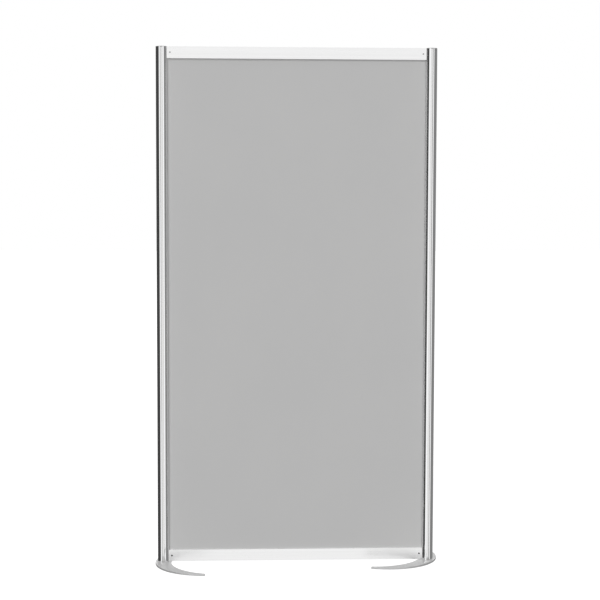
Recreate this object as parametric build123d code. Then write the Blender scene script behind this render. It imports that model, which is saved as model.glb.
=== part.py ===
"""One bay of a free-standing partition wall.

Two round slotted posts, a top and a bottom rail, an infill panel and two half-moon feet that
turn about the posts. Each rail end holds a tension lock: a hex-socket cam spreads two claws behind
the lips of the post's slot. Millimetres, +X to the right along the wall, +Y to the back, +Z up.
The origin is on the floor, midway between the post axes, in the panel's middle plane.
"""

import os
from math import hypot, sqrt

from build123d import *

# ---- driving dimensions --------------------------------------------------------------------------
POST_SPACING = 960.0          # post axis to post axis
WALL_TOP = 1854.0             # floor to the top of the rails and caps
POST_ACROSS_LIPS = 40.0       # over the lips of two opposite slots
RAIL_HEIGHT = 42.0
RAIL_THICKNESS = 16.0
PANEL_THICKNESS = 4.0
FOOT_THICKNESS = 6.0
PAD_STAND_OFF = 0.5           # how far the rubber pads stand out under a foot
WASHER_THICKNESS = 0.5
LEFT_FOOT_TURN = -2.0         # degrees about +Z, as the feet stand at rest
RIGHT_FOOT_TURN = -21.4

# ---- post section --------------------------------------------------------------------------------
POST_WALL = 2.0
SLOT_SIDE_WALL = 1.4
CORE_WALL = 1.8
SLOT_MOUTH = 8.5
LIP_THICKNESS = 2.2
SLOT_DEPTH = 6.0
POCKET_WIDTH_TOP = 12.4
POCKET_WIDTH_FLOOR = 9.4
LIP_EDGE_RADIUS = 0.35
POST_BORE_RADIUS = 11.5
CAP_THICKNESS = 1.5
CAP_EDGE_SETBACK = 0.5
CAP_SPIGOT_RADIUS = 11.4
CAP_SPIGOT_WALL = 2.0
CAP_SPIGOT_LENGTH = 14.0

# ---- rail section, measured from the edge away from the panel ------------------------------------
RAIL_WALL = 1.6
RAIL_WEB = 1.4
GROOVE_WIDTH = 4.6
GROOVE_DEPTH = 10.0
LOCK_AXIS_HEIGHT = 21.0
LOCK_CHAMBER_LOW = 11.3
RAIL_END_CLEARANCE = 0.05     # between a post and the rail end that is hollowed to fit round it
RAIL_OUTER_EDGE_RADIUS = 0.6
RAIL_PANEL_EDGE_RADIUS = 1.2

# ---- panel and gaskets ---------------------------------------------------------------------------
PANEL_IN_GROOVE = 9.0
PANEL_IN_POST = 4.4
GASKET_CLEARANCE = 0.1
GASKET_END_GAP = 0.5

# ---- tension lock, measured from the rail's end towards the post ---------------------------------
KEY_HOLE_RADIUS = 2.3
CAM_INSET = 10.5              # key hole and cam axis, back from the rail's end
PIVOT_INSET = 26.5            # claw pivot, back from the rail's end
SPRING_INSET = 34.0
NUB_INSET = 32.0
CASE_INSET = 40.0
CASE_END_GAP = 0.3
CASE_HALF_WIDTH = 6.25
CASE_HALF_HEIGHT = 9.5
CASE_CHEEK = 0.8
CASE_PLATE = 1.2
NUB_RADIUS = 1.9
NUB_HOLE_RADIUS = 2.0
NUB_REACH = 7.8
CAM_RADIUS = 5.6
CAM_HALF_THICKNESS = 1.6
TRUNNION_RADIUS = 2.5
TRUNNION_REACH = 6.2
RUNNING_CLEARANCE = 0.05
KEY_SOCKET_ACROSS = 3.0
KEY_SOCKET_DEPTH = 4.0
LOBE_CIRCLE = 4.2             # lobes and bumps stand on this radius about the cam axis
LOBE_BASE_RADIUS = 1.35
CAM_LOBE_HEIGHT = 0.9
CLAW_BUMP_HEIGHT = 1.1
CLAW_INNER = 3.72             # claw plate's inner face from the rail's middle plane
CLAW_PLATE = 1.5
CLAW_HALF_HEIGHT = 6.0
CLAW_TRUNNION_HOLE = 3.2
CLAW_NECK_INNER = 2.15
CLAW_NECK_OUTER = 3.95
CLAW_TAIL_INNER = 3.0
CLAW_TAIL_OUTER = 4.4
CLAW_EYE_RADIUS = 3.2
CLAW_EYE_GAP = 0.2
CLAW_EYE_TOP = 5.8
HOOK_START = 2.5
HOOK_END = 5.3
HOOK_REACH_START = 5.6
HOOK_REACH_END = 4.6
PIN_RADIUS = 1.25
PIN_HALF_LENGTH = 9.4
SPRING_RADIUS = 1.7
SPRING_WIRE_RADIUS = 0.25
SPRING_HALF_LENGTH = 2.5
SPRING_TURNS = 4

# ---- foot: a crescent between two circles whose centres lie on the foot's own centre line --------
OUTER_ARC_CENTRE = 155.7
OUTER_ARC_RADIUS = 184.2
INNER_ARC_CENTRE = 209.4
INNER_ARC_RADIUS = 181.5
TIP_REACH = 160.0
TIP_CORNER_RADIUS = 2.0
FOOT_EDGE_RADIUS = 1.0
PAD_RADIUS = 6.0
PAD_THICKNESS = 1.5
TIP_PAD_REACH = 135.0
ARM_PAD_OFFSET = 85.0
HEEL_PAD_OFFSET = 19.0
SCREW_RADIUS = 4.0
SCREW_CLEARANCE = 0.1
SCREW_LENGTH = 26.0
SCREW_HEAD_RECESS = 0.3
COUNTERSINK_RADIUS = 8.6
HEX_SOCKET_ACROSS = 5.0
HEX_SOCKET_DEPTH = 2.6
INSERT_RADIUS = 11.45
INSERT_LENGTH = 24.0
INSERT_HOLE_RADIUS = 4.02
WASHER_RADIUS = 18.5

# ---- worked out ----------------------------------------------------------------------------------
HALF_SPACING = POST_SPACING / 2
POST_HALF = POST_ACROSS_LIPS / 2
POST_RADIUS = hypot(POST_HALF, SLOT_MOUTH / 2)
RAIL_HALF_LENGTH = HALF_SPACING - POST_HALF
FOOT_TOP = PAD_STAND_OFF + FOOT_THICKNESS
WALL_BOTTOM = FOOT_TOP + WASHER_THICKNESS
POST_TOP = WALL_TOP - CAP_THICKNESS
RAIL_INNER_HALF = RAIL_THICKNESS / 2 - RAIL_WALL
GROOVE_FLOOR = RAIL_HEIGHT - GROOVE_DEPTH
SIDES = {"left": -1, "right": 1}


def box(x_range, y_range, z_range):
    """A box between two values on each axis, given in any order."""
    x_low, x_high = sorted(x_range)
    y_low, y_high = sorted(y_range)
    z_low, z_high = sorted(z_range)
    solid = Box(x_high - x_low, y_high - y_low, z_high - z_low)
    return Pos((x_low + x_high) / 2, (y_low + y_high) / 2, (z_low + z_high) / 2) * solid


def upright(radius, x, y, z_low, z_high):
    """A cylinder standing along Z."""
    return Pos(x, y, (z_low + z_high) / 2) * Cylinder(radius, z_high - z_low)


def crosswise(radius, x, z, y_low, y_high):
    """A cylinder lying along Y."""
    middle = (y_low + y_high) / 2
    return Pos(x, middle, z) * Rot(90, 0, 0) * Cylinder(radius, y_high - y_low)


# ---- posts ---------------------------------------------------------------------------------------
def slot_section():
    """Mouth and pocket of the slot on the +X side."""
    lip_back = POST_HALF - LIP_THICKNESS
    floor = POST_HALF - SLOT_DEPTH
    pocket = Polygon(
        (floor, -POCKET_WIDTH_FLOOR / 2),
        (lip_back, -POCKET_WIDTH_TOP / 2),
        (lip_back, POCKET_WIDTH_TOP / 2),
        (floor, POCKET_WIDTH_FLOOR / 2),
        align=None,
    )
    mouth_length = LIP_THICKNESS + 1.0
    mouth = Pos(lip_back + mouth_length / 2, 0) * Rectangle(mouth_length, SLOT_MOUTH)
    return pocket + mouth


def chamber_section():
    """The closed chamber between the +X slot and the +Y slot."""
    ring = Circle(POST_RADIUS - POST_WALL) - Circle(POST_BORE_RADIUS + CORE_WALL)
    clear_of_slots = POCKET_WIDTH_TOP / 2 + SLOT_SIDE_WALL
    middle = clear_of_slots + POST_HALF / 2
    return ring & Pos(middle, middle) * Rectangle(POST_HALF, POST_HALF)


def post_section():
    section = Circle(POST_RADIUS) - Circle(POST_BORE_RADIUS)
    for quarter in range(4):
        section -= Rot(0, 0, 90 * quarter) * slot_section()
        section -= Rot(0, 0, 90 * quarter) * chamber_section()
    reach = [(vertex, hypot(vertex.X, vertex.Y)) for vertex in section.vertices()]
    lip_edges = [vertex for vertex, radius in reach if radius > POST_RADIUS - 0.01]
    return fillet(lip_edges, LIP_EDGE_RADIUS)


def make_post(side):
    section = Pos(side * HALF_SPACING, 0, WALL_BOTTOM) * post_section()
    return extrude(section, POST_TOP - WALL_BOTTOM, dir=(0, 0, 1))


def make_cap(side):
    cover = extrude(Circle(POST_RADIUS - CAP_EDGE_SETBACK), CAP_THICKNESS)
    cover = fillet(cover.edges().group_by(Axis.Z)[-1], CAP_THICKNESS / 3)
    spigot = Circle(CAP_SPIGOT_RADIUS) - Circle(CAP_SPIGOT_RADIUS - CAP_SPIGOT_WALL)
    cap = cover + extrude(spigot, -CAP_SPIGOT_LENGTH)
    return Pos(side * HALF_SPACING, 0, POST_TOP) * cap


# ---- rails ---------------------------------------------------------------------------------------
def band(half_width, low, high, middle=0.0):
    """A rectangle of the rail section, across the wall and up from the outer edge."""
    return Pos(middle, (low + high) / 2) * Rectangle(2 * half_width, high - low)


def rail_section():
    outline = band(RAIL_THICKNESS / 2, 0, RAIL_HEIGHT)
    corners = outline.vertices().group_by(Axis.Y)
    section = fillet(corners[0], RAIL_OUTER_EDGE_RADIUS)
    section = fillet(section.vertices().group_by(Axis.Y)[-1], RAIL_PANEL_EDGE_RADIUS)
    section -= band(RAIL_INNER_HALF, RAIL_WALL, LOCK_CHAMBER_LOW - RAIL_WEB)
    section -= band(RAIL_INNER_HALF, LOCK_CHAMBER_LOW, GROOVE_FLOOR - RAIL_WEB)
    section -= band(GROOVE_WIDTH / 2, GROOVE_FLOOR, RAIL_HEIGHT + 1)
    pocket_inner = GROOVE_WIDTH / 2 + RAIL_WEB
    pocket_half = (RAIL_INNER_HALF - pocket_inner) / 2
    for side in SIDES.values():
        middle = side * (pocket_inner + pocket_half)
        section -= band(pocket_half, GROOVE_FLOOR, RAIL_HEIGHT - RAIL_WEB, middle)
    return section


def make_rail(outer_edge, towards_panel):
    """A rail from its outer edge's height; towards_panel is +1 for the bottom rail, -1 for the top."""
    rough_half_length = RAIL_HALF_LENGTH + POST_HALF / 2
    section = Plane.YZ.offset(-rough_half_length) * rail_section()
    rail = extrude(section, 2 * rough_half_length, dir=(1, 0, 0))
    for side in SIDES.values():
        rail -= upright(POST_RADIUS + RAIL_END_CLEARANCE, side * HALF_SPACING, 0, -1, RAIL_HEIGHT + 1)
        key_x = side * (RAIL_HALF_LENGTH - CAM_INSET)
        nub_x = side * (RAIL_HALF_LENGTH - NUB_INSET)
        rail -= crosswise(KEY_HOLE_RADIUS, key_x, LOCK_AXIS_HEIGHT, -RAIL_THICKNESS, -RAIL_INNER_HALF + 0.5)
        rail -= crosswise(NUB_HOLE_RADIUS, nub_x, LOCK_AXIS_HEIGHT, RAIL_INNER_HALF - 0.5, RAIL_THICKNESS)
    if towards_panel < 0:
        rail = mirror(rail, about=Plane.XY)
    return Pos(0, 0, outer_edge) * rail


# ---- panel and gaskets ---------------------------------------------------------------------------
def make_panel():
    half_length = RAIL_HALF_LENGTH + PANEL_IN_POST
    low = WALL_BOTTOM + RAIL_HEIGHT - PANEL_IN_GROOVE
    high = WALL_TOP - RAIL_HEIGHT + PANEL_IN_GROOVE
    half_thickness = PANEL_THICKNESS / 2
    return box((-half_length, half_length), (-half_thickness, half_thickness), (low, high))


def make_gasket(side):
    """A U-shaped strip that fills the inner slot's mouth and grips the panel's edge."""
    low = WALL_BOTTOM + RAIL_HEIGHT + GASKET_END_GAP
    high = WALL_TOP - RAIL_HEIGHT - GASKET_END_GAP
    mouth_half = SLOT_MOUTH / 2 - GASKET_CLEARANCE
    back = RAIL_HALF_LENGTH + SLOT_DEPTH - GASKET_CLEARANCE
    strip = box((side * RAIL_HALF_LENGTH, side * back), (-mouth_half, mouth_half), (low, high))
    half_thickness = PANEL_THICKNESS / 2
    panel_edge = RAIL_HALF_LENGTH + PANEL_IN_POST
    return strip - box((0, side * panel_edge), (-half_thickness, half_thickness), (low, high))


# ---- tension locks, built for the right-hand rail end with the cam axis at height zero -----------
def inset(distance):
    """X of a place that lies the given distance back from the right-hand rail end."""
    return RAIL_HALF_LENGTH - distance


def dome(base_radius, height):
    """A spherical cap on the XY plane, rising along +Z."""
    ball_radius = (base_radius**2 + height**2) / (2 * height)
    ball = Pos(0, 0, height - ball_radius) * Sphere(ball_radius)
    keep = Pos(0, 0, ball_radius) * Box(4 * ball_radius, 4 * ball_radius, 2 * ball_radius)
    return ball & keep


def make_case():
    ends = (inset(CASE_INSET), inset(CASE_END_GAP))
    case = box(ends, (-CASE_HALF_WIDTH, CASE_HALF_WIDTH), (-CASE_HALF_HEIGHT, CASE_HALF_HEIGHT))
    room_y = CASE_HALF_WIDTH - CASE_CHEEK
    room_z = CASE_HALF_HEIGHT - CASE_PLATE
    case -= box((inset(CASE_INSET - CASE_PLATE), inset(-1)), (-room_y, room_y), (-room_z, room_z))
    trunnion_hole = TRUNNION_RADIUS + RUNNING_CLEARANCE
    case -= crosswise(trunnion_hole, inset(CAM_INSET), 0, -RAIL_THICKNESS, RAIL_THICKNESS)
    case -= upright(PIN_RADIUS, inset(PIVOT_INSET), 0, -RAIL_HEIGHT, RAIL_HEIGHT)
    case += crosswise(NUB_RADIUS, inset(NUB_INSET), 0, room_y, NUB_REACH)
    return case


def make_cam():
    x = inset(CAM_INSET)
    cam = crosswise(CAM_RADIUS, x, 0, -CAM_HALF_THICKNESS, CAM_HALF_THICKNESS)
    cam += crosswise(TRUNNION_RADIUS, x, 0, -TRUNNION_REACH, TRUNNION_REACH)
    lobe = Pos(0, 0, CAM_HALF_THICKNESS - 0.05) * dome(LOBE_BASE_RADIUS, CAM_LOBE_HEIGHT + 0.05)
    for face in (-90, 90):
        for height in (-LOBE_CIRCLE, LOBE_CIRCLE):
            cam += Pos(x, 0, height) * Rot(face, 0, 0) * lobe
    socket = extrude(RegularPolygon(KEY_SOCKET_ACROSS / 2, 6, major_radius=False), KEY_SOCKET_DEPTH)
    return cam - Pos(x, -TRUNNION_REACH, 0) * Rot(-90, 0, 0) * socket


def make_claw(front):
    """One claw; front is -1 for the claw on the wall's front side, +1 for the rear one."""
    outer = CLAW_INNER + CLAW_PLATE
    tail_end = inset(PIVOT_INSET + 10)
    eye_back = inset(PIVOT_INSET + CLAW_EYE_RADIUS)
    jog = inset(3)
    profile = Polygon(
        (eye_back, CLAW_INNER),
        (jog, CLAW_INNER),
        (inset(1.5), CLAW_NECK_INNER),
        (inset(-HOOK_END), CLAW_NECK_INNER),
        (inset(-HOOK_END), HOOK_REACH_END),
        (inset(-HOOK_START), HOOK_REACH_START),
        (inset(-HOOK_START), CLAW_NECK_OUTER),
        (inset(0.5), CLAW_NECK_OUTER),
        (jog + 1.0, outer),
        (eye_back, outer),
        align=None,
    )
    claw = Pos(0, 0, -CLAW_HALF_HEIGHT) * extrude(profile, 2 * CLAW_HALF_HEIGHT)
    claw -= crosswise(CLAW_TRUNNION_HOLE, inset(CAM_INSET), 0, 0, 2 * outer)
    bump = dome(LOBE_BASE_RADIUS, CLAW_BUMP_HEIGHT + 0.05)
    for height in (-LOBE_CIRCLE, LOBE_CIRCLE):
        claw += Pos(inset(CAM_INSET), CLAW_INNER + 0.05, height) * Rot(90, 0, 0) * bump
    arm_front = inset(PIVOT_INSET - CLAW_EYE_RADIUS)
    eye_range = (CLAW_EYE_GAP, CLAW_EYE_TOP)
    claw += box((eye_back, arm_front), (0, outer), eye_range)
    claw += upright(CLAW_EYE_RADIUS, inset(PIVOT_INSET), 0, *eye_range)
    claw += box((tail_end, eye_back + 0.5), (CLAW_TAIL_INNER, CLAW_TAIL_OUTER), (-3, 3))
    claw -= upright(PIN_RADIUS + RUNNING_CLEARANCE, inset(PIVOT_INSET), 0, -RAIL_HEIGHT, RAIL_HEIGHT)
    if front < 0:
        claw = mirror(mirror(claw, about=Plane.XZ), about=Plane.XY)
    return claw


def make_pin():
    return upright(PIN_RADIUS, inset(PIVOT_INSET), 0, -PIN_HALF_LENGTH, PIN_HALF_LENGTH)


def make_spring():
    pitch = 2 * SPRING_HALF_LENGTH / SPRING_TURNS
    path = Helix(pitch, 2 * SPRING_HALF_LENGTH, SPRING_RADIUS)
    start = Plane(origin=path @ 0, z_dir=path % 0)
    coil = sweep(start * Circle(SPRING_WIRE_RADIUS), path=path)
    return Pos(inset(SPRING_INSET), SPRING_HALF_LENGTH, 0) * Rot(90, 0, 0) * coil


def lock_places():
    """Name, side and cam height of each of the four locks."""
    heights = {"top": WALL_TOP - LOCK_AXIS_HEIGHT, "bottom": WALL_BOTTOM + LOCK_AXIS_HEIGHT}
    for level, height in heights.items():
        for name, side in SIDES.items():
            yield f"{level}_{name}", side, height


def place_lock_piece(piece, side, height):
    if side < 0:
        piece = mirror(piece, about=Plane.YZ)
    return Pos(0, 0, height) * piece


# ---- feet, built with the post axis at zero and the tips pointing along +X -----------------------
def arc_x(centre, radius, y):
    """Where the arc of the given circle, on its -X side, passes at a distance y from the centre line."""
    return centre - sqrt(radius**2 - y**2)


def crescent():
    shape = Pos(OUTER_ARC_CENTRE, 0) * Circle(OUTER_ARC_RADIUS)
    shape -= Pos(INNER_ARC_CENTRE, 0) * Circle(INNER_ARC_RADIUS)
    keep_length = TIP_REACH + OUTER_ARC_RADIUS
    shape &= Pos(TIP_REACH - keep_length / 2, 0) * Rectangle(keep_length, 4 * OUTER_ARC_RADIUS)
    tips = [vertex for vertex in shape.vertices() if abs(vertex.X - TIP_REACH) < 0.01]
    return fillet(tips, TIP_CORNER_RADIUS)


def pad_places():
    """Centres of the pads: two tips, two arms, and one on each side of the screw."""
    outer = sqrt(OUTER_ARC_RADIUS**2 - (TIP_PAD_REACH - OUTER_ARC_CENTRE) ** 2)
    inner = sqrt(INNER_ARC_RADIUS**2 - (TIP_PAD_REACH - INNER_ARC_CENTRE) ** 2)
    arm_outer = arc_x(OUTER_ARC_CENTRE, OUTER_ARC_RADIUS, ARM_PAD_OFFSET)
    arm_inner = arc_x(INNER_ARC_CENTRE, INNER_ARC_RADIUS, ARM_PAD_OFFSET)
    places = [(-HEEL_PAD_OFFSET, 0), (HEEL_PAD_OFFSET, 0)]
    for side in SIDES.values():
        places.append((TIP_PAD_REACH, side * (outer + inner) / 2))
        places.append(((arm_outer + arm_inner) / 2, side * ARM_PAD_OFFSET))
    return places


def make_foot():
    foot = extrude(crescent(), FOOT_THICKNESS)
    foot = fillet(foot.edges().group_by(Axis.Z)[-1], FOOT_EDGE_RADIUS)
    foot = Pos(0, 0, PAD_STAND_OFF) * foot
    hole = SCREW_RADIUS + SCREW_CLEARANCE
    cone_height = COUNTERSINK_RADIUS - hole
    cone = Cone(COUNTERSINK_RADIUS, hole, cone_height)
    foot -= upright(hole, 0, 0, 0, WALL_BOTTOM)
    foot -= Pos(0, 0, PAD_STAND_OFF + cone_height / 2) * cone
    for x, y in pad_places():
        foot -= upright(PAD_RADIUS, x, y, 0, PAD_THICKNESS)
    return foot


def make_pads():
    pads = [upright(PAD_RADIUS, x, y, 0, PAD_THICKNESS) for x, y in pad_places()]
    return Compound(children=[pad.solid() for pad in pads])


def make_foot_screw():
    head_low = PAD_STAND_OFF + SCREW_HEAD_RECESS
    head_radius = COUNTERSINK_RADIUS - SCREW_HEAD_RECESS - 1.5 * SCREW_CLEARANCE
    head_height = head_radius - SCREW_RADIUS
    screw = Pos(0, 0, head_low + head_height / 2) * Cone(head_radius, SCREW_RADIUS, head_height)
    screw += upright(SCREW_RADIUS, 0, 0, head_low + head_height, head_low + SCREW_LENGTH)
    socket = extrude(RegularPolygon(HEX_SOCKET_ACROSS / 2, 6, major_radius=False), HEX_SOCKET_DEPTH)
    return screw - Pos(0, 0, head_low) * socket


def make_insert():
    insert = upright(INSERT_RADIUS, 0, 0, WALL_BOTTOM, WALL_BOTTOM + INSERT_LENGTH)
    return insert - upright(INSERT_HOLE_RADIUS, 0, 0, 0, WALL_TOP)


def make_washer():
    washer = upright(WASHER_RADIUS, 0, 0, FOOT_TOP, WALL_BOTTOM)
    return washer - upright(SCREW_RADIUS + SCREW_CLEARANCE, 0, 0, 0, WALL_TOP)


def place_foot_piece(piece, side, turn):
    """Put a foot piece on its post: tips inward, then turned about the post axis."""
    inward = 0 if side < 0 else 180
    return Pos(side * HALF_SPACING, 0, 0) * Rot(0, 0, inward + turn) * piece


# ---- everything ----------------------------------------------------------------------------------
def build():
    parts = {
        "top_rail": make_rail(WALL_TOP, -1),
        "bottom_rail": make_rail(WALL_BOTTOM, 1),
        "infill_panel": make_panel(),
    }
    turns = {"left": LEFT_FOOT_TURN, "right": RIGHT_FOOT_TURN}
    for name, side in SIDES.items():
        parts[f"{name}_post"] = make_post(side)
        parts[f"{name}_post_cap"] = make_cap(side)
        parts[f"{name}_edge_gasket"] = make_gasket(side)
        parts[f"{name}_foot"] = place_foot_piece(make_foot(), side, turns[name])
        parts[f"{name}_foot_pads"] = place_foot_piece(make_pads(), side, turns[name])
        parts[f"{name}_foot_screw"] = place_foot_piece(make_foot_screw(), side, 0)
        parts[f"{name}_post_insert"] = place_foot_piece(make_insert(), side, 0)
        parts[f"{name}_slide_washer"] = place_foot_piece(make_washer(), side, 0)
    pins = []
    springs = []
    for name, side, height in lock_places():
        parts[f"{name}_lock_case"] = place_lock_piece(make_case(), side, height)
        parts[f"{name}_cam"] = place_lock_piece(make_cam(), side, height)
        parts[f"{name}_front_claw"] = place_lock_piece(make_claw(-1), side, height)
        parts[f"{name}_rear_claw"] = place_lock_piece(make_claw(1), side, height)
        pins.append(place_lock_piece(make_pin(), side, height).solid())
        springs.append(place_lock_piece(make_spring(), side, height).solid())
    parts["lock_pins"] = Compound(children=pins)
    parts["lock_springs"] = Compound(children=springs)
    return parts


os.makedirs("parts", exist_ok=True)
for node, shape in build().items():
    export_step(shape, f"parts/{node}.step")
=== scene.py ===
"""Finishes, light and camera for the partition wall bay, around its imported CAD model.

Metres, in the CAD model's own frame: +X to the right along the wall, +Y to the back, +Z up.
Every shape is the CAD model's own; this script gives each of its materials a procedural finish.
A pattern's scale is per metre, and tones and lights are linear.
"""

from math import cos, radians, sin

import bpy
from mathutils import Matrix, Vector


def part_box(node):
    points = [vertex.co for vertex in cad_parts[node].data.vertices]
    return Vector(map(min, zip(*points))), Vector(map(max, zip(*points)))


# ---- camera settings ---------------------------------------------------------------------------
CAMERA_PLACE = (-0.2219, -5.0671, 1.3218)
CAMERA_YAW = 0.046277           # radians to the right of +Y
CAMERA_PITCH = 0.072182         # radians below the horizon
CAMERA_ROLL = 0.002622
CAMERA_LENS = 84.878            # millimetres
SENSOR_WIDTH = 36.0             # millimetres
CLIP_RANGE = (0.05, 200.0)

# ---- studio settings ---------------------------------------------------------------------------
HORIZON_LIGHT = 0.985           # radiance of the soft surround at eye level
POLE_LIGHT = 1.05               # and straight above or below
POLE_START = 0.3                # sine of the elevation where the change towards the pole begins
LEFT_FLAG_LIGHT = 0.055         # a dark flag on the left and a grey one on the right give the
RIGHT_FLAG_LIGHT = 0.225        # polished posts their bands
LEFT_FLAG = (48.5, 54.5, 150.0, 165.0)   # degrees from the front, seen from above, where a flag
RIGHT_FLAG = (48.0, 54.5, 150.0, 165.0)  # begins, is full, begins to fade and is gone
FLAG_HEIGHT = (0.6, 0.85)       # sine of the elevation where the flags begin to fade, and are gone
FLOOR_SIZE = 60.0
FLOOR_WHITE = 0.3
FLOOR_GLOW = 0.86
BOUNCE_DEPTH = 0.02             # of the unseen sheet below the floor that lights matt surfaces
BOUNCE_GLOW = 0.22
LAMP_DISTANCE = 10.0            # of no effect, since the lamps' light is parallel
KEY_AZIMUTH = radians(-36.0)    # from the wall's front normal, to the right; below 0 to the left
KEY_ELEVATION = radians(40.5)
KEY_ANGLE = radians(16.0)
KEY_STRENGTH = 0.95
FILL_AZIMUTH = radians(170.0)   # a softer light from behind, so that the back is not in shade
FILL_ELEVATION = radians(32.0)
FILL_ANGLE = radians(50.0)
FILL_STRENGTH = 0.55

# ---- finish settings ---------------------------------------------------------------------------
POST_AXIS_X = 0.48              # the posts' section, for the painted shade deep in their slots
POST_RADIUS = 0.02045
SLOT_SHADE = (0.0008, 0.0018)   # depth below the round where the painted shade and the rougher metal begin, and are full
SLOT_WALL = (0.0030, 0.0042)    # distance from a slot's middle where the painted shade of its walls begins, and is full
SLOT_FLOOR_SHADE_TONE = 0.79          # painted shade on the slot floors, as a share of the post's own tone
SLOT_WALL_SHADE_TONE = 0.28           # painted shade on the slot walls, in its own right
KEY_HOLE_SHADES = (                   # the cam behind a hole, and the radius and tone of the painted shade round it
    ("top_right_cam", 0.0026, 0.12),
    ("bottom_right_cam", 0.0031, 0.02),
)
HOLE_SHADE_BLEND = 0.0001             # how far the painted shade round a hole takes to fade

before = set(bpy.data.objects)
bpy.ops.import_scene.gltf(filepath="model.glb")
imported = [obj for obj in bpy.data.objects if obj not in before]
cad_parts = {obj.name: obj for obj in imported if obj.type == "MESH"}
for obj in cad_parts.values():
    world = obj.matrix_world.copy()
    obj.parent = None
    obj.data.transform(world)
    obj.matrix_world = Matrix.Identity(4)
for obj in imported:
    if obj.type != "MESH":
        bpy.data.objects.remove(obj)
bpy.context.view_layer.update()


# ---- building a finish -------------------------------------------------------------------------
class Finish:
    """One material, with short calls for the nodes that every finish here is made of."""

    def __init__(self, name, **constants):
        self.material = bpy.data.materials.new(name)
        self.material.use_nodes = True
        self.tree = self.material.node_tree
        self.shader = self.tree.nodes["Principled BSDF"]
        for socket, value in constants.items():
            self.shader.inputs[socket.replace("_", " ")].default_value = value
        self.place = self.add("ShaderNodeTexCoord").outputs["Object"]

    def add(self, kind, **settings):
        node = self.tree.nodes.new(kind)
        for name, value in settings.items():
            setattr(node, name, value)
        return node

    def join(self, source, socket):
        """Feed a socket from another one, or set it to a plain value."""
        if isinstance(source, bpy.types.NodeSocket):
            self.tree.links.new(source, socket)
        else:
            socket.default_value = source

    def stretched(self, scale, shift=(0.0, 0.0, 0.0)):
        """Object coordinates times a scale, which is one number or one for each axis."""
        mapping = self.add("ShaderNodeMapping")
        self.join(self.place, mapping.inputs["Vector"])
        mapping.inputs["Scale"].default_value = (scale,) * 3 if isinstance(scale, float) else scale
        mapping.inputs["Location"].default_value = shift
        return mapping.outputs["Vector"]

    def noise(self, scale, detail=3.0, roughness=0.5, shift=(0.0, 0.0, 0.0)):
        node = self.add("ShaderNodeTexNoise")
        self.join(self.stretched(scale, shift), node.inputs["Vector"])
        node.inputs["Scale"].default_value = 1.0
        node.inputs["Detail"].default_value = detail
        node.inputs["Roughness"].default_value = roughness
        return node.outputs["Fac"]

    def cells(self, scale):
        """A pattern of cells: the distance from each one's middle, and a random colour for each."""
        node = self.add("ShaderNodeTexVoronoi")
        self.join(self.stretched(scale), node.inputs["Vector"])
        node.inputs["Scale"].default_value = 1.0
        return node.outputs["Distance"], node.outputs["Color"]

    def parts(self, kind, source):
        """The three numbers that a separating node gives for a place or a colour."""
        node = self.add(kind)
        self.join(source, node.inputs[0])
        return node.outputs[0], node.outputs[1], node.outputs[2]

    def math(self, operation, first, second=0.0):
        node = self.add("ShaderNodeMath", operation=operation)
        self.join(first, node.inputs[0])
        self.join(second, node.inputs[1])
        return node.outputs[0]

    def length(self, *sides):
        """The length of a line from its extent along two axes."""
        squares = [self.math("MULTIPLY", side, side) for side in sides]
        return self.math("SQRT", self.math("ADD", *squares))

    def span(self, value, low, high, source_low=0.0, source_high=1.0):
        """Carry a value smoothly from its source range to low..high, clamped."""
        node = self.add("ShaderNodeMapRange", interpolation_type="SMOOTHSTEP")
        self.join(value, node.inputs["Value"])
        node.inputs["From Min"].default_value = source_low
        node.inputs["From Max"].default_value = source_high
        node.inputs["To Min"].default_value = low
        node.inputs["To Max"].default_value = high
        return node.outputs["Result"]

    def mixed(self, factor, first, second):
        """A colour between two others."""
        node = self.add("ShaderNodeMix", data_type="RGBA")
        self.join(factor, node.inputs["Factor"])
        colours = [socket for socket in node.inputs if socket.type == "RGBA"]
        self.join(first, colours[0])
        self.join(second, colours[1])
        return next(socket for socket in node.outputs if socket.type == "RGBA")

    def mottled(self, pattern, first, second):
        """A colour that wanders between two others, following a noise pattern."""
        return self.mixed(self.span(pattern, 0.0, 1.0, 0.3, 0.7), first, second)

    def worn_edges(self, radius, amount=1.0):
        """Up to the amount along sharp edges, 0 on faces, broken up by noise."""
        bevel = self.add("ShaderNodeBevel", samples=4)
        bevel.inputs["Radius"].default_value = radius
        geometry = self.add("ShaderNodeNewGeometry")
        dot = self.add("ShaderNodeVectorMath", operation="DOT_PRODUCT")
        self.join(bevel.outputs["Normal"], dot.inputs[0])
        self.join(geometry.outputs["Normal"], dot.inputs[1])
        edge = self.span(dot.outputs["Value"], 1.0, 0.0, 0.86, 0.995)
        patches = self.span(self.noise(55.0), 0.35, 1.0, 0.35, 0.65)
        return self.math("MULTIPLY", self.math("MULTIPLY", edge, patches), amount)

    def bump(self, height, depth, under=None):
        """A bump whose full height range is the given depth in metres."""
        node = self.add("ShaderNodeBump")
        node.inputs["Strength"].default_value = 1.0
        node.inputs["Distance"].default_value = depth
        self.join(height, node.inputs["Height"])
        if under is not None:
            self.join(under, node.inputs["Normal"])
        return node.outputs["Normal"]

    def surface(self, colour, roughness, normal):
        """Finish the shader off, and give its material."""
        self.join(colour, self.shader.inputs["Base Color"])
        self.join(roughness, self.shader.inputs["Roughness"])
        self.join(normal, self.shader.inputs["Normal"])
        return self.material


def grey(value, warmth=0.0):
    """A linear colour; warmth above 0 leans to yellow, below 0 to blue."""
    return (value * (1 + warmth), value, value * (1 - warmth), 1.0)


def streaks(axis, across, along):
    """The scale of a pattern of lines along one axis, 0 for X or 2 for Z."""
    scale = [across] * 3
    scale[axis] = along
    return scale


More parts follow.
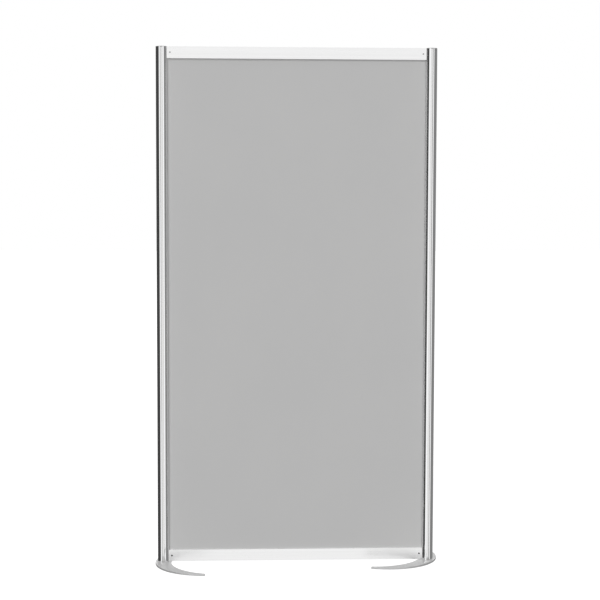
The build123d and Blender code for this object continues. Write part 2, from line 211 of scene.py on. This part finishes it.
# ---- the finishes ------------------------------------------------------------------------------
def slot_shade_places(finish):
    """Where a post's slots get painted shade: how far a point lies inside them, and how near to the
    walls of one, 0 to 1.
    """
    x, y, _ = finish.parts("ShaderNodeSeparateXYZ", finish.place)
    x = finish.math("SUBTRACT", finish.math("ABSOLUTE", x), POST_AXIS_X)
    x = finish.math("ABSOLUTE", x)
    y = finish.math("ABSOLUTE", y)
    shallow, deep = (POST_RADIUS - depth for depth in SLOT_SHADE)
    inside = finish.span(finish.length(x, y), 1.0, 0.0, deep, shallow)
    near_wall = finish.span(finish.math("MINIMUM", x, y), 0.0, 1.0, *SLOT_WALL)
    return inside, finish.math("MULTIPLY", inside, near_wall)


def key_hole_shade(finish, cam, radius):
    """Near 1 on the wall and edge of the key holes in front of a cam and its mirror image, where
    their shade is painted.
    """
    low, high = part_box(cam)
    across, up = (low[0] + high[0]) / 2, (low[2] + high[2]) / 2
    x, _, z = finish.parts("ShaderNodeSeparateXYZ", finish.place)
    x = finish.math("SUBTRACT", finish.math("ABSOLUTE", x), across)
    z = finish.math("SUBTRACT", z, up)
    return finish.span(finish.length(x, z), 1.0, 0.0, radius - HOLE_SHADE_BLEND, radius)


def drawn_metal(name, axis, tone, warmth, roughness, line_depth, slotted=False):
    """Extruded and anodised aluminium, with die lines along one axis, 0 for X or 2 for Z; painted
    shade in the slots of posts, or round the key holes of rails.
    """
    finish = Finish(name, Metallic=1.0)
    lines = finish.noise(streaks(axis, 2600.0, 2.0), detail=2.0)
    bands = finish.noise(streaks(axis, 260.0, 0.7), detail=3.0, shift=(3.1, 1.7, 0.4))
    haze = finish.noise((9.0, 9.0, 4.0), detail=4.0, roughness=0.6)
    wear = finish.worn_edges(0.0004, 0.4)
    base = finish.mottled(bands, grey(tone, warmth), grey(tone * 0.965, warmth))
    line_marks = finish.span(lines, 0.0, 0.5, 0.35, 0.75)
    base = finish.mixed(line_marks, base, grey(tone * 0.93, warmth))
    base = finish.mixed(wear, base, grey(min(tone * 1.03, 0.97)))
    rough = finish.span(lines, roughness * 0.85, roughness * 1.2, 0.25, 0.75)
    rough = finish.math("ADD", rough, finish.span(haze, -0.015, 0.02, 0.35, 0.7))
    rough = finish.math("ADD", rough, finish.math("MULTIPLY", wear, 0.06))
    if slotted:
        # painted shade: the slots' floors and walls are darkened where shade falls in them; the
        # added roughness is the metal's own
        inside, walls = slot_shade_places(finish)
        base = finish.mixed(inside, base, grey(tone * SLOT_FLOOR_SHADE_TONE))
        base = finish.mixed(walls, base, grey(SLOT_WALL_SHADE_TONE))
        rough = finish.math("ADD", rough, finish.math("MULTIPLY", inside, 0.08))
        rough = finish.math("ADD", rough, finish.math("MULTIPLY", walls, 0.35))
    else:
        # painted shade: a dark ring round each key hole stands for the shade inside it
        for cam, radius, hole_shade_tone in KEY_HOLE_SHADES:
            base = finish.mixed(key_hole_shade(finish, cam, radius), base, grey(hole_shade_tone))
    normal = finish.bump(lines, line_depth)
    normal = finish.bump(bands, line_depth * 2.0, under=normal)
    return finish.surface(base, rough, normal)


def laminate(name):
    """A laminate with a fine pearl texture under a thin smooth lacquer."""
    lacquer = {"Coat_Weight": 1.0, "Coat_Roughness": 0.07, "Coat_IOR": 1.55}
    finish = Finish(name, Metallic=0.0, IOR=1.46, **lacquer)
    pearl = finish.noise(950.0, detail=2.0, roughness=0.45)
    pores, _ = finish.cells(1500.0)
    cloud = finish.noise((3.0, 3.0, 2.2), detail=4.0, roughness=0.55)
    specks = finish.noise(2100.0, detail=1.0, shift=(5.0, 9.0, 2.0))
    base = finish.mottled(cloud, grey(0.575), grey(0.587, 0.003))
    base = finish.mixed(finish.span(specks, 0.0, 0.5, 0.62, 0.74), base, grey(0.533))
    rough = finish.span(pearl, 0.42, 0.54, 0.3, 0.7)
    normal = finish.bump(pearl, 0.00003)
    normal = finish.bump(pores, 0.00001, under=normal)
    return finish.surface(base, rough, normal)


def powder_coat(name):
    """Silver-grey powder coat: orange peel, fine flakes and a few rubbed edges."""
    finish = Finish(name, Metallic=0.25, IOR=1.5)
    peel = finish.noise(620.0, detail=2.0, roughness=0.4)
    _, flakes = finish.cells(3400.0)
    flake, _, _ = finish.parts("ShaderNodeSeparateColor", flakes)
    glitter = finish.span(flake, 0.0, 1.0, 0.82, 0.98)
    rubbed = finish.noise(26.0, detail=5.0, roughness=0.62)
    wear = finish.worn_edges(0.0012)
    base = finish.mottled(rubbed, grey(0.58), grey(0.61))
    base = finish.mixed(finish.math("MULTIPLY", glitter, 0.35), base, grey(0.78))
    base = finish.mixed(finish.math("MULTIPLY", wear, 0.5), base, grey(0.68, 0.01))
    rough = finish.span(rubbed, 0.36, 0.46, 0.3, 0.7)
    rough = finish.math("SUBTRACT", rough, finish.math("MULTIPLY", wear, 0.08))
    return finish.surface(base, rough, finish.bump(peel, 0.00003))


def moulded(name, tone, roughness, grain_depth, warmth=0.0):
    """Injection-moulded plastic or rubber with a spark-eroded grain."""
    finish = Finish(name, Metallic=0.0, IOR=1.49)
    grain = finish.noise(1900.0, detail=3.0, roughness=0.6)
    flow = finish.noise((40.0, 40.0, 18.0), detail=4.0)
    wear = finish.worn_edges(0.0005)
    rubbed_tone = grey(min(tone * 1.35, 0.9), warmth)
    base = finish.mottled(flow, grey(tone, warmth), grey(tone * 0.9, warmth))
    base = finish.mixed(finish.math("MULTIPLY", wear, 0.5), base, rubbed_tone)
    rough = finish.span(grain, roughness * 0.9, min(roughness * 1.1, 1.0), 0.3, 0.7)
    return finish.surface(base, rough, finish.bump(grain, grain_depth))


def plated(name):
    """Zinc plate: faint crystals, a slightly blue-yellow bloom and rubbed edges."""
    finish = Finish(name, Metallic=1.0)
    _, crystals = finish.cells(420.0)
    shine, polish, _ = finish.parts("ShaderNodeSeparateColor", crystals)
    bloom = finish.noise(90.0, detail=4.0)
    wear = finish.worn_edges(0.0005)
    base = finish.mixed(shine, grey(0.56, 0.01), grey(0.64, -0.01))
    base = finish.mixed(finish.span(bloom, 0.0, 0.6, 0.4, 0.7), base, grey(0.58, 0.05))
    base = finish.mixed(wear, base, grey(0.7))
    rough = finish.span(polish, 0.28, 0.42)
    return finish.surface(base, rough, finish.bump(bloom, 0.00002))


def machined(name, tone, roughness, warmth):
    """Hardened or blackened steel with grinding marks along the wall's length."""
    finish = Finish(name, Metallic=1.0)
    marks = finish.noise(streaks(0, 3200.0, 60.0), detail=3.0)
    stain = finish.noise(140.0, detail=5.0, roughness=0.65)
    wear = finish.worn_edges(0.0004)
    base = finish.mottled(stain, grey(tone, warmth), grey(tone * 0.78, warmth))
    base = finish.mixed(wear, base, grey(min(tone * 1.5, 0.8)))
    rough = finish.span(marks, roughness * 0.8, roughness * 1.25, 0.3, 0.7)
    return finish.surface(base, rough, finish.bump(marks, 0.00001))


def finishes():
    """The finish that stands for each of the record's material slots."""
    polished = drawn_metal("polished_extrusion", 2, 0.975, -0.003, 0.06, 0.0000005, slotted=True)
    return {
        "post_aluminium": polished,
        "rail_aluminium": drawn_metal("satin_extrusion", 0, 0.90, 0.0, 0.31, 0.000004),
        "panel_laminate": laminate("pearl_laminate"),
        "foot_coating": powder_coat("silver_powder_coat"),
        "cap_plastic": moulded("grey_moulding", 0.45, 0.5, 0.00003),
        "gasket_rubber": moulded("black_rubber_strip", 0.035, 0.62, 0.00004),
        "pad_rubber": moulded("black_rubber_pad", 0.022, 0.7, 0.00006),
        "washer_plastic": moulded("natural_nylon", 0.55, 0.42, 0.00002, 0.03),
        "zinc_steel": plated("zinc_plate"),
        "cam_steel": machined("hardened_steel", 0.42, 0.3, 0.0),
        # painted shade: the lower cams are the upper cams' steel, made nearly black for the shade
        # in their key holes
        "lower_cam_painted_shade": machined("cam_steel_in_painted_shade", 0.03, 0.5, 0.0),
        "claw_steel": machined("blackened_steel", 0.2, 0.38, 0.02),
    }


def dress(nodes):
    """Give every CAD node the finish that its material slot names; the lower cams get a nearly
    black copy of the cam steel, painted shade for their key holes.
    """
    finish_of = finishes()
    for name, node in nodes.items():
        for slot in node.material_slots:
            kind = slot.material.name
            if kind == "cam_steel" and name.startswith("bottom"):
                kind = "lower_cam_painted_shade"
            slot.material = finish_of[kind]


# ---- the studio --------------------------------------------------------------------------------
def make_surround():
    """A soft white surround with a dark flag at -X and a grey one at +X; the backdrop is white."""
    world = bpy.data.worlds.new("studio")
    bpy.context.scene.world = world
    world.use_nodes = True
    tree = world.node_tree
    tree.nodes.clear()

    def join(source, socket):
        if isinstance(source, bpy.types.NodeSocket):
            tree.links.new(source, socket)
        else:
            socket.default_value = source

    def node(kind, *inputs, **settings):
        made = tree.nodes.new(kind)
        for name, value in settings.items():
            setattr(made, name, value)
        for source, socket in zip(inputs, made.inputs):
            join(source, socket)
        return made

    def ramp(value, start, end, low=0.0, high=1.0):
        ends = (start, end, low, high)
        made = node("ShaderNodeMapRange", value, *ends, interpolation_type="SMOOTHSTEP")
        return made.outputs["Result"]

    def blend(factor, first, second):
        made = node("ShaderNodeMix", factor, data_type="FLOAT")
        join(first, made.inputs[2])
        join(second, made.inputs[3])
        return made.outputs["Result"]

    def product(first, second):
        return node("ShaderNodeMath", first, second, operation="MULTIPLY").outputs[0]

    towards = node("ShaderNodeTexCoord").outputs["Generated"]
    split = node("ShaderNodeSeparateXYZ", towards)
    forwards = product(split.outputs["Y"], -1.0)
    height = node("ShaderNodeMath", split.outputs["Z"], operation="ABSOLUTE").outputs[0]
    low_down = ramp(height, *FLAG_HEIGHT, 1.0, 0.0)
    surround = ramp(height, POLE_START, 1.0, HORIZON_LIGHT, POLE_LIGHT)
    flags = ((-1.0, LEFT_FLAG, LEFT_FLAG_LIGHT), (1.0, RIGHT_FLAG, RIGHT_FLAG_LIGHT))
    for side, flag, light in flags:
        start, full, end, gone = (radians(angle) for angle in flag)
        across = product(split.outputs["X"], side)
        turn = node("ShaderNodeMath", across, forwards, operation="ARCTAN2").outputs[0]
        width = product(ramp(turn, start, full), ramp(turn, end, gone, 1.0, 0.0))
        surround = blend(product(width, low_down), surround, light)
    seen = node("ShaderNodeLightPath").outputs["Is Camera Ray"]
    shown = blend(seen, surround, 1.0)
    background = node("ShaderNodeBackground", grey(1.0), shown)
    node("ShaderNodeOutputWorld", background.outputs[0])


def make_sheet(name, height, glow, white):
    """A large matt sheet that also glows, and that reflections don't show."""
    light = {"Emission_Color": grey(1.0), "Emission_Strength": glow}
    finish = Finish(name, Specular_IOR_Level=0.0, **light)
    mottle = finish.noise(0.6, detail=2.0)
    tone = finish.mottled(mottle, grey(white), grey(white + 0.01))
    grain = finish.noise(300.0)
    material = finish.surface(tone, finish.span(grain, 0.75, 0.85), finish.bump(grain, 0.00001))
    mesh = bpy.data.meshes.new(name)
    half = FLOOR_SIZE / 2
    corners = ((-half, -half), (half, -half), (half, half), (-half, half))
    mesh.from_pydata([(x, y, height) for x, y in corners], [], [(0, 1, 2, 3)])
    mesh.materials.append(material)
    sheet = bpy.data.objects.new(name, mesh)
    bpy.context.scene.collection.objects.link(sheet)
    sheet.visible_glossy = False
    return sheet


def make_floor():
    """The pale floor, and under it a sheet that sets how much light the floor throws back."""
    floor = make_sheet("studio_floor", 0.0, FLOOR_GLOW, FLOOR_WHITE)
    floor.visible_diffuse = False
    bounce = make_sheet("floor_bounce", -BOUNCE_DEPTH, BOUNCE_GLOW, 0.0)
    bounce.visible_camera = False


def make_light(name, azimuth, elevation, angle, strength, glossy=True):
    """A distant soft light; its azimuth runs from the wall's front normal to the right."""
    light = bpy.data.lights.new(name, "SUN")
    light.angle = angle
    light.energy = strength
    level = cos(elevation)
    towards = Vector((sin(azimuth) * level, -cos(azimuth) * level, sin(elevation)))
    lamp = bpy.data.objects.new(name, light)
    lamp.location = LAMP_DISTANCE * towards
    lamp.rotation_euler = (-towards).to_track_quat("-Z", "Y").to_euler()
    lamp.visible_glossy = glossy
    bpy.context.scene.collection.objects.link(lamp)


def make_camera():
    """The camera at the photograph's place and angle."""
    flat = cos(CAMERA_PITCH)
    ahead = Vector((sin(CAMERA_YAW) * flat, cos(CAMERA_YAW) * flat, -sin(CAMERA_PITCH)))
    level = Vector((cos(CAMERA_YAW), -sin(CAMERA_YAW), 0.0))
    above = level.cross(ahead)
    right = cos(CAMERA_ROLL) * level + sin(CAMERA_ROLL) * above
    up = -sin(CAMERA_ROLL) * level + cos(CAMERA_ROLL) * above
    turn = Matrix((right, up, -ahead)).transposed()
    data = bpy.data.cameras.new("camera")
    data.lens = CAMERA_LENS
    data.sensor_width = SENSOR_WIDTH
    data.clip_start, data.clip_end = CLIP_RANGE
    camera = bpy.data.objects.new("camera", data)
    camera.matrix_world = Matrix.Translation(CAMERA_PLACE) @ turn.to_4x4()
    bpy.context.scene.collection.objects.link(camera)
    bpy.context.scene.camera = camera


make_camera()
make_surround()
make_floor()
make_light("key", KEY_AZIMUTH, KEY_ELEVATION, KEY_ANGLE, KEY_STRENGTH)
make_light("fill", FILL_AZIMUTH, FILL_ELEVATION, FILL_ANGLE, FILL_STRENGTH, glossy=False)
dress(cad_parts)
bpy.context.scene.view_settings.view_transform = "Standard"
